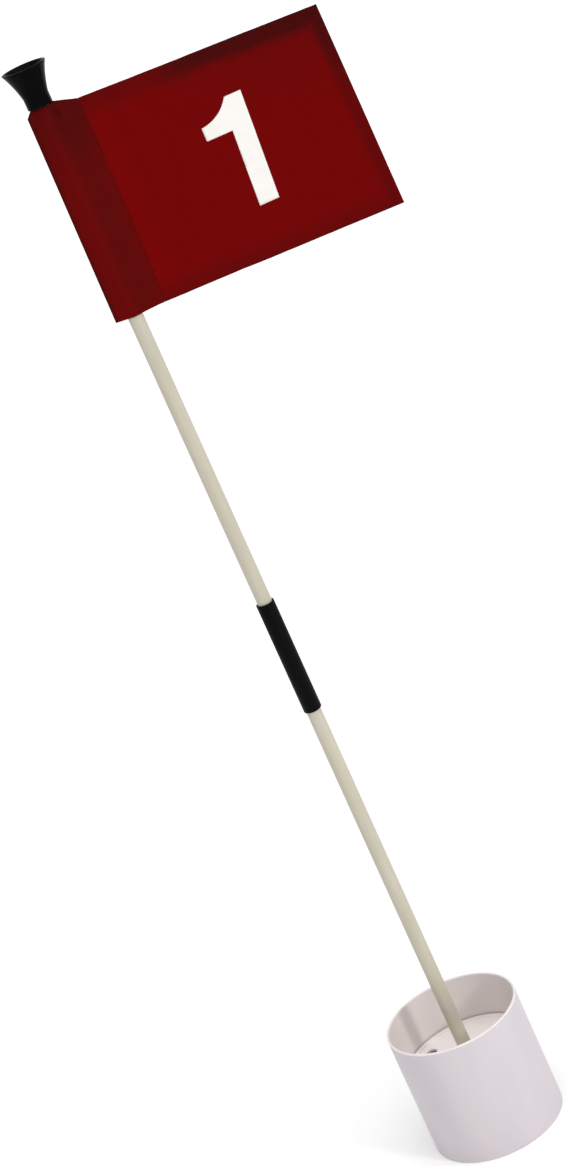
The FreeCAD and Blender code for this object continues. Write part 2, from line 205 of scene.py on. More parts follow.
class Finish:
    """A material on a Principled shader, with short ways to add its nodes."""

    def __init__(self, name):
        self.material = bpy.data.materials.new(name)
        self.material.use_nodes = True
        self.tree = self.material.node_tree
        self.shader = self.tree.nodes["Principled BSDF"]

    def node(self, kind, settings=None, inputs=None, output=0):
        """Adds a node: its settings first, then its sockets' values or links."""
        made = self.tree.nodes.new(kind)
        for key, value in (settings or {}).items():
            setattr(made, key, value)
        self.fill(made, inputs or {})
        return Value(self, made.outputs[output])

    def fill(self, node, inputs):
        for key, value in inputs.items():
            if isinstance(value, Value):
                self.tree.links.new(value.socket, node.inputs[key])
            else:
                node.inputs[key].default_value = value

    def set(self, **inputs):
        """Sets or links the shader's sockets, named with underscores for spaces."""
        self.fill(self.shader, {key.replace("_", " "): value for key, value in inputs.items()})

    def place(self):
        return self.node("ShaderNodeTexCoord", output="Object")

    def cloth_place(self):
        """The piece's own map, in metres along the cloth."""
        return self.node("ShaderNodeTexCoord", output="UV")

    def stretched(self, place, scale):
        """Coordinates multiplied axis by axis."""
        return self.node("ShaderNodeVectorMath", {"operation": "MULTIPLY"}, {0: place, 1: scale})

    def axis(self, place, name):
        return self.node("ShaderNodeSeparateXYZ", inputs={0: place}, output=name)

    def reach(self, place):
        """The distance from the stick's axis."""
        flat = self.stretched(place, (1, 1, 0))
        return self.node("ShaderNodeVectorMath", {"operation": "LENGTH"}, {0: flat}, "Value")

    def cloud(self, place, scale, detail=3.0, roughness=0.5):
        """Noise from 0 to 1 about a half, with that many cells to the metre."""
        inputs = {"Vector": place, "Scale": scale, "Detail": detail, "Roughness": roughness}
        return self.node("ShaderNodeTexNoise", {}, inputs)

    def mixed(self, factor, first, second):
        """A colour between two colours."""
        return self.node("ShaderNodeMix", {"data_type": "RGBA"}, {0: factor, 6: first, 7: second}, 2)

    def relief(self, height, distance, after=None):
        """A normal from a height between 0 and 1 that stands for that distance in metres."""
        inputs = {"Height": height, "Distance": distance}
        if after is not None:
            inputs["Normal"] = after
        return self.node("ShaderNodeBump", {}, inputs)


def colour(red, green, blue):
    """A linear colour from 0 to 255 screen values."""
    screen = [c / 255 for c in (red, green, blue)]
    return tuple(c / 12.92 if c < 0.04045 else ((c + 0.055) / 1.055) ** 2.4 for c in screen) + (1.0,)


def white_plastic():
    """Satin moulded plastic, darker outside than inside, with flow marks, grain and scuffs; painted shade
    in the inside corner above the floor and a painted highlight on the rim.
    """
    finish = Finish("white_plastic")
    place = finish.place()
    outer = radius_of("cup_wall")
    floor = top_of("cup_floor")
    flow = finish.cloud(finish.stretched(place, (1, 1, 0.35)), 38, 4)
    grain = finish.cloud(place, 2600, 2)
    scuffs = finish.cloud(finish.stretched(place, (1, 1, 14)), 95, 6, 0.7).above(0.66, 0.05)
    tone = flow.above(0.5, 0.5)
    reach = finish.reach(place)
    up = finish.axis(place, "Z")
    outside = reach.above(outer - 0.25 * MM, 0.3 * MM)
    wall = reach.above(outer - CUP_WALL - 0.02 * MM, 0.02 * MM)
    # painted shade: the inside wall darkens just above the floor, where the corner lies in shade; mixed in
    # below as colour (160, 148, 140)
    corner = (1 - up.above(floor + 1.0 * MM, 3.5 * MM)) * wall * (1 - outside)
    # painted highlight: the top of the rim is made lighter, where the rounded rim catches the light
    rim_highlight = up.above(top_of("cup_wall") - 1.3 * MM, 0.6 * MM)
    moulded = finish.mixed(tone, colour(238, 232, 231), colour(231, 225, 223))
    bore = finish.mixed(tone, colour(220, 211, 210), colour(212, 204, 201))
    inside = finish.mixed(wall, moulded, finish.mixed(corner * 0.75, bore, colour(160, 148, 140)))
    # the outside is given a darker colour than the inside
    outer_tone = finish.mixed(tone, colour(204, 196, 199), colour(199, 193, 199))
    body = finish.mixed(outside, inside, outer_tone)
    rim_lit = finish.mixed(rim_highlight * (0.6 + 0.4 * tone), body, colour(226, 218, 219))
    finish.set(
        Base_Color=finish.mixed(scuffs * 0.25, rim_lit, colour(200, 193, 192)),
        Roughness=0.40 + tone * 0.07 + grain * 0.05 + scuffs * 0.10,
        Normal=finish.relief(grain, 0.02 * MM, finish.relief(flow, 0.08 * MM)),
        Specular_IOR_Level=0.3,
    )
    return finish.material


def bush_plastic():
    """Off-white acetal with turning marks round it."""
    finish = Finish("bush_plastic")
    place = finish.place()
    marks = finish.cloud(finish.stretched(place, (0.05, 0.05, 1)), 2500, 2)
    grey = finish.cloud(place, 120, 4).above(0.55, 0.3)
    finish.set(
        Base_Color=finish.mixed(grey * 0.5, colour(222, 218, 210), colour(200, 195, 186)),
        Roughness=0.35 + marks * 0.12,
        Normal=finish.relief(marks, 0.03 * MM),
        Specular_IOR_Level=0.4,
    )
    return finish.material


def fibreglass():
    """Cream pultruded rod: glass strands along it under a thin gel coat, painted lighter inside the cup,
    where the cup shades it.
    """
    finish = Finish("fibreglass")
    place = finish.place()
    strands = finish.cloud(finish.stretched(place, (1, 1, 0.012)), 2400, 3, 0.6)
    bands = finish.cloud(finish.stretched(place, (1, 1, 0.05)), 420, 3)
    blotch = finish.cloud(finish.stretched(place, (1, 1, 0.3)), 60, 4)
    specks = finish.cloud(place, 1500, 2).above(0.72, 0.04)
    # painted light: the rod is made lighter and greener below the cup's rim, where the cup shades it
    in_cup_light = 1 - finish.axis(place, "Z").above(top_of("cup_wall") - 10 * MM, 40 * MM)
    cream = finish.mixed(bands.above(0.5, 0.5), colour(192, 185, 168), colour(184, 176, 159))
    cup_lit_cream = finish.mixed(in_cup_light, cream, colour(204, 201, 177))
    aged = finish.mixed(blotch.above(0.56, 0.3) * 0.5, cup_lit_cream, colour(175, 171, 149))
    laid = finish.mixed(strands * 0.5, aged, colour(198, 192, 178))
    finish.set(
        Base_Color=finish.mixed(specks * 0.4, laid, colour(160, 148, 124)),
        Roughness=0.36 + strands * 0.14,
        Normal=finish.relief(strands, 0.04 * MM, finish.relief(blotch, 0.06 * MM)),
        Specular_IOR_Level=0.3,
    )
    return finish.material


def black_plastic():
    """Extruded black plastic with faint draw lines and rubbed grey marks."""
    finish = Finish("black_plastic")
    place = finish.place()
    draw = finish.cloud(finish.stretched(place, (1, 1, 0.02)), 1900, 3, 0.6)
    grain = finish.cloud(place, 3200, 2)
    rubs = finish.cloud(finish.stretched(place, (1, 1, 6)), 130, 6, 0.7).above(0.64, 0.06)
    finish.set(
        Base_Color=finish.mixed(rubs * 0.4, colour(9, 8, 9), colour(26, 25, 26)),
        Roughness=0.40 + draw * 0.10 + rubs * 0.12,
        Normal=finish.relief(grain, 0.02 * MM, finish.relief(draw, 0.05 * MM)),
        Specular_IOR_Level=0.05,
    )
    return finish.material


def black_rubber():
    """Moulded black rubber with a slight bloom and a polished skin."""
    finish = Finish("black_rubber")
    place = finish.place()
    bloom = finish.cloud(place, 70, 5, 0.6).above(0.55, 0.3)
    grain = finish.cloud(place, 2100, 3)
    rings = finish.cloud(finish.stretched(place, (0.02, 0.02, 1)), 1200, 2)
    finish.set(
        Base_Color=finish.mixed(bloom * 0.5, colour(3, 3, 3), colour(13, 13, 14)),
        Roughness=0.20 + bloom * 0.10 + grain * 0.05,
        Normal=finish.relief(grain, 0.01 * MM, finish.relief(rings, 0.02 * MM)),
        Specular_IOR_Level=0.03,
    )
    return finish.material


def weave(finish, place):
    """Height of a plain weave, from 0 to 1."""
    across = (finish.axis(place, "X") * (math.pi / WEAVE)).sine()
    along = (finish.axis(place, "Y") * (math.pi / WEAVE)).sine()
    return across * along * 0.5 + 0.5


def red_nylon(name, single, double, layer_shade, lit):
    """Red flag nylon. The last two arguments make masks, from the finish and the cloth's place: painted
    shade where more layers let less light through and where a flank lies in shade, and a painted highlight
    where a ripple catches more light."""
    finish = Finish(name)
    place = finish.cloth_place()
    threads = weave(finish, place)
    slubs = finish.cloud(finish.stretched(place, (1, 0.08, 1)), 900, 3, 0.6)
    fade = finish.cloud(place, 22, 3)
    crease = finish.cloud(finish.stretched(place, (1, 0.35, 1)), 55, 5, 0.6)
    faded = finish.mixed(fade.above(0.5, 0.5) * 0.25, single, colour(104, 6, 8))
    # the ripples' painted highlight, then the painted shade of layers and shaded flanks
    ripple_lit = finish.mixed(lit(finish, place) * 0.15, faded, colour(126, 3, 3))
    ground = finish.mixed(layer_shade(finish, place), ripple_lit, double)
    slubbed = finish.mixed(slubs.above(0.62, 0.1) * 0.12, ground, colour(128, 9, 10))
    finish.set(
        Base_Color=finish.mixed(threads * 0.15, slubbed, colour(56, 1, 2)),
        Roughness=0.62 + threads * 0.14 + fade * 0.06,
        Normal=finish.relief(threads, 0.05 * MM, finish.relief(crease, 0.25 * MM)),
        Specular_IOR_Level=0.02,
    )
    return finish.material


def white_film():
    """White printed film that takes the weave beneath it, with tiny gaps in the ink."""
    finish = Finish("white_film")
    place = finish.cloth_place()
    threads = weave(finish, place)
    gaps = finish.cloud(place, 1700, 4, 0.7).above(0.72, 0.03)
    yellow = finish.cloud(place, 45, 3).above(0.55, 0.3)
    ink = finish.mixed(yellow * 0.4, colour(235, 232, 228), colour(229, 225, 219))
    finish.set(
        Base_Color=finish.mixed(gaps * 0.25, ink, colour(214, 180, 177)),
        Roughness=0.50 + threads * 0.12,
        Normal=finish.relief(threads, 0.03 * MM),
        Specular_IOR_Level=0.35,
    )
    return finish.material


def red_thread():
    """Twisted polyester thread."""
    finish = Finish("red_thread")
    place = finish.place()
    twist = ((finish.axis(place, "X") + finish.axis(place, "Z")) * 9000).sine() * 0.5 + 0.5
    fuzz = finish.cloud(place, 900, 3)
    finish.set(
        Base_Color=finish.mixed(twist * 0.6, colour(112, 8, 9), colour(86, 5, 6)),
        Roughness=0.55 + fuzz * 0.2,
        Normal=finish.relief(twist, 0.05 * MM),
        Specular_IOR_Level=0.05,
    )
    return finish.material


def pale_floor():
    """Plain near-white studio floor."""
    finish = Finish("pale_floor")
    mottle = finish.cloud(finish.place(), 3, 2)
    finish.set(
        Base_Color=finish.mixed(mottle * 0.15, colour(252, 252, 252), colour(249, 249, 250)),
        Roughness=0.85 + mottle * 0.1,
        Specular_IOR_Level=0.1,
    )
    return finish.material


# ---- Making pieces ----

def object_from(name, bm, sharp=35):
    """A smooth-shaded object from a bmesh, sharp where faces meet at more than that angle."""
    mesh = bpy.data.meshes.new(name)
    bm.to_mesh(mesh)
    bm.free()
    made = bpy.data.objects.new(name, mesh)
    bpy.context.scene.collection.objects.link(made)
    mesh.shade_smooth()
    mesh.set_sharp_from_angle(angle=math.radians(sharp))
    return made


def finish_piece(piece, body, material, replaces):
    """Gives a piece its material and the body that it rides on."""
    piece.data.materials.clear()
    piece.data.materials.append(material)
    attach(piece, body)
    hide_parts(replaces)
    return piece


def outline(bm, points, closed=True):
    """Edges through (r, z) points in the XZ plane."""
    corners = [bm.verts.new((r, 0, z)) for r, z in points]
    ends = corners[1:] + corners[:1] if closed else corners[1:]
    for pair in zip(corners, ends):
        bm.edges.new(pair)
    return corners


def bow(bm, start, end, sag, steps):
    """Curves the edge between two vertices in towards the axis by sag."""
    a, b = start.co.xz, end.co.xz
    half = (b - a).length / 2
    radius = (half ** 2 + sag ** 2) / (2 * sag)
    outward = Vector((abs(b.y - a.y), -abs(b.x - a.x))).normalized()
    centre = (a + b) / 2 + outward * (radius - sag)
    swing = (a - centre).angle_signed(b - centre)
    bm.edges.remove(bm.edges.get((start, end)))
    seed = bm.verts.new(start.co)
    bmesh.ops.spin(bm, geom=[seed], cent=(centre.x, 0, centre.y), axis=(0, 1, 0), angle=swing, steps=steps)


def turned(bm, steps):
    """Spins what a bmesh holds about the stick's axis."""
    bmesh.ops.remove_doubles(bm, verts=bm.verts, dist=1e-6)
    geometry = bm.verts[:] + bm.edges[:]
    bmesh.ops.spin(bm, geom=geometry, cent=(0, 0, 0), axis=(0, 0, 1), angle=TURN, steps=steps,
                   use_merge=True)
    bmesh.ops.remove_doubles(bm, verts=bm.verts, dist=1e-6)
    bmesh.ops.recalc_face_normals(bm, faces=bm.faces)
    return bm


def turned_from(points, closed=True, steps=160):
    """An outline of (r, z) points spun about the stick's axis."""
    bm = bmesh.new()
    outline(bm, points, closed)
    return turned(bm, steps)


def round_rings(bm, radius, rings, segments=3):
    """Rounds the ring edges that lie at the given (r, z) places."""
    def on(vertex, ring):
        reach = math.hypot(vertex.co.x, vertex.co.y)
        return abs(reach - ring[0]) < 1e-5 and abs(vertex.co.z - ring[1]) < 1e-5

    edges = [e for e in bm.edges if any(all(on(v, ring) for v in e.verts) for ring in rings)]
    bmesh.ops.bevel(bm, geom=edges, offset=radius, offset_type="OFFSET", affect="EDGES",
                    segments=segments, profile=0.5, material=-1)


def applied(piece):
    """Replaces a piece's mesh with what its modifiers make of it."""
    depsgraph = bpy.context.evaluated_depsgraph_get()
    mesh = bpy.data.meshes.new_from_object(piece.evaluated_get(depsgraph))
    piece.modifiers.clear()
    piece.data = mesh
    return piece


def combine(piece, others, operation):
    """Joins others to a piece or cuts them out of it, and removes them."""
    for other in others:
        modifier = piece.modifiers.new(other.name, "BOOLEAN")
        modifier.object = other
        modifier.operation = operation
        modifier.solver = "EXACT"
    applied(piece)
    for other in others:
        bpy.data.objects.remove(other)
    return piece


# ---- Hole cup ----

def skirt_foot():
    """The height of the cup's ledge, where the floor's skirt ends."""
    return top_of("cup_floor") - SKIRT_HEIGHT


def plate_top():
    return top_of("cup_floor") - LIP_RISE


def socket_radius():
    return radius_of("lower_rod") + STICK_FIT


def hub_bore():
    return socket_radius() + BUSH_WALL + BUSH_FIT


def make_cup_wall(material):
    """Open tube with a rounded rim and the ledge that carries the floor."""
    outer = radius_of("cup_wall")
    inner = outer - CUP_WALL
    height = top_of("cup_wall")
    bm = turned_from([
        (inner, 0),
        (outer, 0),
        (outer, height),
        (inner, height),
        (inner, skirt_foot()),
        (inner - LEDGE_WIDTH, skirt_foot()),
        (inner, skirt_foot() - LEDGE_HEIGHT),
    ], steps=224)
    round_rings(bm, RIM_ROUND, [(outer, height), (inner, height)], 5)
    round_rings(bm, 0.3 * MM, [(outer, 0), (inner, 0)], 2)
    return finish_piece(object_from("hole_cup_wall", bm), "cup", material, "cup_wall")


def make_gusset(index):
    """One web between the floor's hub and its skirt."""
    near = hub_bore() + HUB_WALL / 2
    far = radius_of("cup_floor") - SKIRT_WALL / 2
    plate = plate_top() - FLOOR_PLATE
    bm = bmesh.new()
    corners = outline(bm, [
        (near, plate + FLOOR_PLATE / 2),
        (far, plate + FLOOR_PLATE / 2),
        (far, plate - GUSSET_TOE),
        (near, plate - GUSSET_HEIGHT),
    ])
    face = bm.faces.new(corners)
    bmesh.ops.translate(bm, verts=bm.verts, vec=(0, -GUSSET_THICK / 2, 0))
    grown = bmesh.ops.extrude_face_region(bm, geom=[face], use_keep_orig=True)
    moved = [v for v in grown["geom"] if isinstance(v, bmesh.types.BMVert)]
    bmesh.ops.translate(bm, verts=moved, vec=(0, GUSSET_THICK, 0))
    turn = Matrix.Rotation(GUSSET_TURN + TURN * index / GUSSETS, 3, "Z")
    bmesh.ops.rotate(bm, verts=bm.verts, cent=(0, 0, 0), matrix=turn)
    bmesh.ops.recalc_face_normals(bm, faces=bm.faces)
    return object_from(f"gusset_{index}", bm)


def make_drain_cutter(index):
    """Pin that cuts one drain and breaks its upper edge."""
    broken = 0.5 * MM
    top = plate_top()
    bm = turned_from([
        (0, top + FLOOR_PLATE),
        (DRAIN_R + broken + FLOOR_PLATE, top + FLOOR_PLATE),
        (DRAIN_R, top - broken),
        (DRAIN_R, top - 2 * FLOOR_PLATE),
        (0, top - 2 * FLOOR_PLATE),
    ], closed=False, steps=40)
    angle = DRAIN_TURN + TURN * index / DRAINS
    centre = Vector((math.cos(angle), math.sin(angle), 0)) * DRAIN_RING_R
    bmesh.ops.translate(bm, verts=bm.verts, vec=centre)
    return object_from(f"drain_{index}", bm)


def make_cup_floor(material):
    """Dished floor: a raised lip, drain holes, and a hub with webs beneath."""
    outer = radius_of("cup_floor")
    lip = top_of("cup_floor")
    top = plate_top()
    under = top - FLOOR_PLATE
    bore = hub_bore()
    hub = bore + HUB_WALL
    foot = foot_of("cup_floor")
    bm = turned_from([
        (bore, top),
        (outer - LIP_WIDTH, top),
        (outer - LIP_WIDTH, lip),
        (outer, lip),
        (outer, skirt_foot()),
        (outer - SKIRT_WALL, skirt_foot()),
        (outer - SKIRT_WALL, under),
        (hub, under),
        (hub, foot),
        (bore, foot),
    ], steps=192)
    round_rings(bm, 0.5 * MM, [(outer - LIP_WIDTH, lip), (outer, lip), (outer - LIP_WIDTH, top)], 3)
    floor = object_from("hole_cup_floor", bm)
    combine(floor, [make_gusset(index) for index in range(GUSSETS)], "UNION")
    combine(floor, [make_drain_cutter(index) for index in range(DRAINS)], "DIFFERENCE")
    floor.data.set_sharp_from_angle(angle=math.radians(35))
    return finish_piece(floor, "cup", material, "cup_floor")


def make_socket_bush(material):
    """Liner with a flange, a bell mouth and a drain in its closed bottom."""
    bore = socket_radius()
    outer = bore + BUSH_WALL
    flange = radius_of("socket_bush")
    foot = foot_of("socket_bush")
    top = top_of("socket_bush")
    bm = turned_from([
        (BUSH_DRAIN_R, foot),
        (outer, foot),
        (outer, top - BUSH_FLANGE),
        (flange, top - BUSH_FLANGE),
        (flange, top),
        (bore, top),
        (bore, foot + BUSH_WEB),
        (BUSH_DRAIN_R, foot + BUSH_WEB),
    ], steps=96)
    round_rings(bm, 0.5 * MM, [(flange, top), (bore, top)])
    round_rings(bm, 0.4 * MM, [(outer, foot)], 2)
    piece = object_from("stick_socket_bush", bm)
    return finish_piece(piece, "cup", material, "socket_bush")


# ---- Stick ----

def make_rod(name, node, body, material):
    """Hollow rod with its sawn ends just broken."""
    outer = radius_of(node)
    inner = outer - ROD_WALL
    foot, top = foot_of(node), top_of(node)
    corners = [(inner, foot), (outer, foot), (outer, top), (inner, top)]
    bm = turned_from(corners, steps=96)
    round_rings(bm, 0.25 * MM, corners, 2)
    return finish_piece(object_from(name, bm), body, material, node)


def make_plug(name, node, body, head, chamfer, material):
    """End plug: a ribbed stem in the rod's bore and a chamfered head."""
    outer = radius_of(node)
    stem = outer - ROD_WALL - PLUG_FIT
    groove = 0.35 * MM
    foot, top = foot_of(node), top_of(node)
    points = [
        (0, foot),
        (outer - chamfer, foot),
        (outer, foot + chamfer),
        (outer, foot + head),
        (stem, foot + head),
    ]
    for share in (0.3, 0.5, 0.7):
        z = foot + head + share * (top - foot - head)
        points += [(stem, z - groove), (stem - groove, z), (stem, z + groove)]
    points += [(stem, top - 0.6 * MM), (stem - 0.6 * MM, top), (0, top)]
    bm = turned_from(points, closed=False, steps=64)
    round_rings(bm, 0.3 * MM, [(outer - chamfer, foot), (outer, foot + chamfer)], 2)
    return finish_piece(object_from(name, bm), body, material, node)


def make_sleeve(material):
    """Tube over both rods, with a rounded foot, a lead-in at the mouth and a stop halfway."""
    outer = radius_of("coupler_sleeve")
    rod = radius_of("lower_rod")
    bore = rod + SLEEVE_FIT
    foot, top = foot_of("coupler_sleeve"), top_of("coupler_sleeve")
    stop = top_of("lower_rod")
    bm = turned_from([
        (rod, foot),
        (outer, foot),
        (outer, top),
        (bore, top),
        (bore, stop + SLEEVE_STOP),
        (rod - ROD_WALL, stop + SLEEVE_STOP),
        (rod - ROD_WALL, stop),
        (rod, stop),
    ], steps=112)
    round_rings(bm, 0.95 * MM, [(outer, foot)], 5)
    round_rings(bm, 0.25 * MM, [(outer, top)], 2)
    round_rings(bm, 0.4 * MM, [(bore, top)])
    piece = object_from("coupler_tube", bm)
    return finish_piece(piece, "lower_section", material, "coupler_sleeve")


def make_bell(material):
    """Flared rubber cup: a socket on the rod, a web, and the hollow that grips a ball."""
    rim = radius_of("pickup_bell")
    rod = radius_of("upper_rod")
    foot, top = foot_of("pickup_bell"), top_of("pickup_bell")
    rod_top = foot + BELL_SOCKET
    hollow_foot = rod_top + BELL_WEB
    bm = bmesh.new()
    corners = outline(bm, [
        (0, rod_top),
        (rod, rod_top),
        (rod, foot),
        (BELL_NECK_R, foot),
        (BELL_NECK_R, foot + BELL_NECK_LENGTH),
        (rim, top),
        (rim - BELL_RIM_WALL, top),
        (BELL_HOLLOW_R, hollow_foot),
        (0, hollow_foot),
    ], closed=False)
    bow(bm, corners[4], corners[5], FLARE_SAG, 14)
    bow(bm, corners[6], corners[7], FLARE_SAG, 14)
    turned(bm, 128)
    round_rings(bm, 0.7 * MM, [(rim, top), (rim - BELL_RIM_WALL, top)], 4)
    round_rings(bm, 0.6 * MM, [(BELL_NECK_R, foot)])
    round_rings(bm, 1.5 * MM, [(BELL_HOLLOW_R, hollow_foot)], 4)
    piece = object_from("ball_pickup_bell", bm, 50)
    return finish_piece(piece, "upper_section", material, "pickup_bell")


def make_stop_ring(material):
    """Rubber ring, flat inside and round outside."""
    rod = radius_of("upper_rod")
    low, high = foot_of("flag_stop_ring"), top_of("flag_stop_ring")
    half = (high - low) / 2
    bulge = radius_of("flag_stop_ring") - rod
    bm = bmesh.new()
    start = bm.verts.new((rod, 0, low))
    bmesh.ops.spin(bm, geom=[start], cent=(rod, 0, low + half), axis=(0, -1, 0), angle=math.pi, steps=10)
    bmesh.ops.scale(bm, vec=(bulge / half, 1, 1), verts=bm.verts, space=Matrix.Translation((-rod, 0, 0)))
    ends = [min(bm.verts, key=lambda v: v.co.z), max(bm.verts, key=lambda v: v.co.z)]
    bm.edges.new(ends)
    turned(bm, 72)
    piece = object_from("flag_stop_rubber", bm)
    return finish_piece(piece, "upper_section", material, "flag_stop_ring")


# ---- Flag cloth ----

def grid(across, up):
    """A bmesh of a flat grid with x and y from 0 to 1 and that many cells."""
    bm = bmesh.new()
    bmesh.ops.create_grid(bm, x_segments=across, y_segments=up, size=0.5)
    bmesh.ops.translate(bm, verts=bm.verts, vec=(0.5, 0.5, 0))
    return bm


def shares_of(bm, low=(0, 0), high=(1, 1)):
    """The vertices' x and y, moved from 0 to 1 into low to high."""
    share = np.array([v.co.xy for v in bm.verts])
    return np.array(low) + share * (np.array(high) - np.array(low))


def put(bm, points):
    for vertex, point in zip(bm.verts, points):
        vertex.co = point


def map_cloth(bm, metres):
    """Gives each vertex its place along the cloth, in metres, as the piece's map."""
    layer = bm.loops.layers.uv.new("cloth")
    bm.verts.index_update()
    for face in bm.faces:
        for loop in face.loops:
            loop[layer].uv = metres[loop.vert.index]


def on_panel(corners, share):
    """The (x, z) place at the shares (along, up) of the panel's four corners."""
    foot_left, foot_right, top_right, top_left = (np.array(p) for p in corners)
    along, up = share[:, :1], share[:, 1:]
    foot = (1 - along) * foot_left + along * foot_right
    top = (1 - along) * top_left + along * top_right
    return (1 - up) * foot + up * top


def panel_share(corners, place):
    """The shares (along, up) of (x, z) places on the panel, by a few Newton steps."""
    share = np.full(place.shape, 0.5)
    step = 1e-4
    for _ in range(6):
        here = on_panel(corners, share)
        along = (on_panel(corners, share + [step, 0]) - here) / step
        up = (on_panel(corners, share + [0, step]) - here) / step
        miss = place - here
        spread = along[:, 0] * up[:, 1] - along[:, 1] * up[:, 0]
        share = share + np.stack([
            (miss[:, 0] * up[:, 1] - miss[:, 1] * up[:, 0]) / spread,
            (miss[:, 1] * along[:, 0] - miss[:, 0] * along[:, 1]) / spread,
        ], axis=1)
    return share


def slack(share):
    """How far the loose cloth starts from flat: soft ripples that run with the seam."""
    along, up = share[:, 0], share[:, 1]
    ripple = np.sin(along * 10 + 0.5 * up) * np.exp(-1.2 * along) * np.minimum(along * 8, 1)
    belly = np.sin(math.pi * along) * np.sin(math.pi * up)
    fly = np.sin(along * 6.6 + 1.8 * up + 0.6) * along * (1 - along)
    return 1.8 * MM * ripple + 0.8 * MM * belly + 2.0 * MM * fly


def settle(piece, pins, frames):
    """Lets a piece hang as cloth, held by its pinned vertices, and keeps the result."""
    group = piece.vertex_groups.new(name="pins")
    group.add(pins, 1.0, "REPLACE")
    cloth = piece.modifiers.new("cloth", "CLOTH")
    settings = cloth.settings
    settings.vertex_group_mass = "pins"
    settings.quality = 12
    settings.mass = 0.0002
    settings.air_damping = 4
    settings.tension_stiffness = 40
    settings.compression_stiffness = 40
    settings.shear_stiffness = 20
    settings.bending_stiffness = 0.3
    settings.effector_weights.gravity = 0.15
    cloth.point_cache.frame_start = 1
    cloth.point_cache.frame_end = frames
    for number in range(1, frames + 1):
        bpy.context.scene.frame_set(number)
    applied(piece)
    bpy.context.scene.frame_set(1)


class Cloth:
    """The flag's panel as it hangs: a grid of points that its pieces are laid on."""

    def __init__(self, corners):
        self.corners = corners
        self.size = size_of(corners)
        self.columns, self.rows = (int(round(length / CELL)) for length in self.size)
        bm = grid(self.columns, self.rows)
        share = shares_of(bm)
        flat = on_panel(corners, share)
        put(bm, np.stack([flat[:, 0], slack(share), flat[:, 1]], axis=1))
        piece = object_from("loose_cloth", bm)
        seam = share[:, 0] < 1e-6
        fly_corners = (share[:, 0] > 1 - 1e-6) & (np.abs(share[:, 1] - 0.5) > 0.46)
        settle(piece, [int(i) for i in np.flatnonzero(seam | fly_corners)], 24)
        points = np.array([v.co for v in piece.data.vertices])
        bpy.data.objects.remove(piece)
        column, row = np.round(share[:, 0] * self.columns), np.round(share[:, 1] * self.rows)
        self.points = points[np.lexsort((column, row))].reshape(self.rows + 1, self.columns + 1, 3)

    def sample(self, share):
        """Cloth points at shares (along, up), on a smooth curve through the grid."""
        def weights(place, cells):
            at = np.clip(place, 0, 1) * cells
            cell = np.minimum(at.astype(int), cells - 1)
            t = at - cell
            cubic = np.stack([
                -0.5 * t ** 3 + t ** 2 - 0.5 * t,
                1.5 * t ** 3 - 2.5 * t ** 2 + 1,
                -1.5 * t ** 3 + 2 * t ** 2 + 0.5 * t,
                0.5 * t ** 3 - 0.5 * t ** 2,
            ], axis=1)
            return np.clip(cell[:, None] + np.arange(-1, 3), 0, cells), cubic

        column, across = weights(share[:, 0], self.columns)
        row, up = weights(share[:, 1], self.rows)
        near = self.points[row[:, :, None], column[:, None, :]]
        return np.einsum("nabk,na,nb->nk", near, up, across)

    def step(self, share, way):
        """Unit steps along the cloth where way is (1, 0), or up it where way is (0, 1)."""
        reach = np.array(way) * 5e-3
        ahead = self.sample(share + reach) - self.sample(share - reach)
        return ahead / np.linalg.norm(ahead, axis=1, keepdims=True)

    def back(self, share):
        """The way out of the cloth's back."""
        way = np.cross(self.step(share, (0, 1)), self.step(share, (1, 0)))
        return way / np.linalg.norm(way, axis=1, keepdims=True)

    def behind(self, share, distance):
        """Points that far behind the cloth's middle, or in front of it where negative."""
        return self.sample(share) + self.back(share) * distance


def thicken(piece, thickness, rounding=0.0):
    """Gives a laid sheet its thickness, half to each side, and rounds its edges."""
    solid = piece.modifiers.new("thickness", "SOLIDIFY")
    solid.thickness = thickness
    solid.offset = 0
    if rounding:
        edges = piece.modifiers.new("edges", "BEVEL")
        edges.width = rounding
        edges.segments = 2
        edges.limit_method = "ANGLE"
        edges.angle_limit = math.radians(50)
    return piece


def make_patch(name, cloth, low, high, middle, thickness, node, material):
    """A piece of cloth between two corners (along, up) of the panel, laid on it."""
    cells = [max(1, int(round(length / FINE_CELL))) for length in cloth.size * (np.array(high) - low)]
    bm = grid(*cells)
    share = shares_of(bm, low, high)
    map_cloth(bm, share * cloth.size)
    put(bm, cloth.behind(share, middle))
    bmesh.ops.recalc_face_normals(bm, faces=bm.faces)
    piece = thicken(object_from(name, bm), thickness, thickness * 0.35)
    return finish_piece(piece, "flag", material, node)


def make_number(name, node, cloth, middle, material):
    """Numeral: the CAD outline cut into small cells and laid on the cloth as a film."""
    bm = bmesh.new()
    bm.from_mesh(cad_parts[node].data)
    bmesh.ops.remove_doubles(bm, verts=bm.verts, dist=1e-6)
    low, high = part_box(node)
    bmesh.ops.delete(bm, geom=[v for v in bm.verts if v.co.y > low.y + 1e-6], context="VERTS")
    bmesh.ops.dissolve_limit(bm, angle_limit=0.001, verts=bm.verts, edges=bm.edges)
    for axis, normal in ((0, (1, 0, 0)), (2, (0, 0, 1))):
        place = low.copy()
        while place[axis] < high[axis]:
            place[axis] += FINE_CELL
            geometry = bm.verts[:] + bm.edges[:] + bm.faces[:]
            bmesh.ops.bisect_plane(bm, geom=geometry, plane_co=place, plane_no=normal)
    share = panel_share(cloth.corners, np.array([v.co.xz for v in bm.verts]))
    map_cloth(bm, share * cloth.size)
    put(bm, cloth.behind(share, middle))
    bmesh.ops.recalc_face_normals(bm, faces=bm.faces)
    return finish_piece(thicken(object_from(name, bm), FILM), "flag", material, node)


